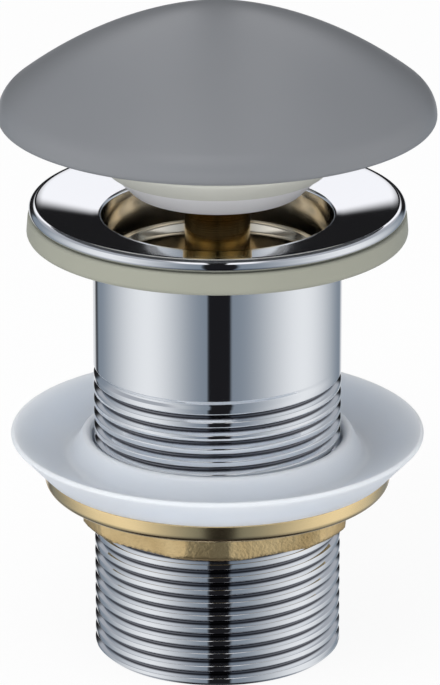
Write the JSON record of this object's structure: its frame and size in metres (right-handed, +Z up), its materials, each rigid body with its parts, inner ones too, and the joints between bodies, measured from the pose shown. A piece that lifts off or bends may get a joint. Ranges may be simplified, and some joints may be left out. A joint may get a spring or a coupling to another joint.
{
  "type": "sprung plug basin waste",
  "caption": "Basin waste with a sprung domed plug over a dished chrome flange, a threaded tail, rubber seals, a cone washer and a brass back nut.",
  "frame": {"origin": "on the axis of the tail, in the plane of its lower end", "axes": "+Z up along the axis, from the tail to the cap; +X across two of the spider's arms; the picture looks along +Y and 20 degrees down"},
  "size_m": [0.0732, 0.0732, 0.1132],
  "materials": {
    "polished_chrome": "polished chrome plate on brass",
    "ivory_rubber": "smooth matt moulded rubber",
    "milky_plastic": "translucent, satin, unpigmented polyethylene",
    "raw_brass": "turned bright on the flange, rough cast on the lug",
    "cap_grey": "fine matt grey",
    "white_plastic": "satin white moulding",
    "stainless_steel": "drawn wire and pressed sheet",
    "red_fibre": "pressed fibre"
  },
  "bodies": {
    "waste": {"waste_body": "polished_chrome", "flange_seal": "ivory_rubber", "cartridge_base": "raw_brass", "base_gasket": "red_fibre", "keeper_washer": "stainless_steel", "keeper_screw": "stainless_steel", "plunger_spring": "stainless_steel"},
    "plug": {"dome_cap": "cap_grey", "cap_insert": "raw_brass", "plug_seal": "ivory_rubber", "plug_carrier": "white_plastic", "plunger_sleeve": "raw_brass", "follower_pins": "stainless_steel"},
    "latch": {"track_core": "white_plastic"},
    "washer": {"cone_washer": "milky_plastic"},
    "nut": {"back_nut": "raw_brass"}
  },
  "joints": [
    {"name": "plug_slide", "type": "slide", "parent": "waste", "child": "plug", "axis": [0, 0, 1], "range_m": [-0.009, 0], "stiffness_N_per_m": 500, "springref_m": 0.02, "deforming": ["plunger_spring"]},
    {"name": "latch_turn", "type": "hinge", "parent": "waste", "child": "latch", "pos_m": [0, 0, 0.066], "axis": [0, 0, 1], "range_deg": [-40.6, 0]},
    {"name": "washer_travel", "type": "slide", "parent": "waste", "child": "washer", "axis": [0, 0, 1], "range_m": [-0.02, 0.0175]},
    {"name": "nut_turn", "type": "hinge", "parent": "washer", "child": "nut", "pos_m": [0, 0, 0.028], "axis": [0, 0, 1], "range_deg": [-3118, 2728]}
  ],
  "couplings": [
    {"joint": "latch_turn", "follows": "plug_slide", "rad_per_m": 78.54},
    {"joint": "washer_travel", "follows": "nut_turn", "m_per_rad": 0.00036749}
  ]
}
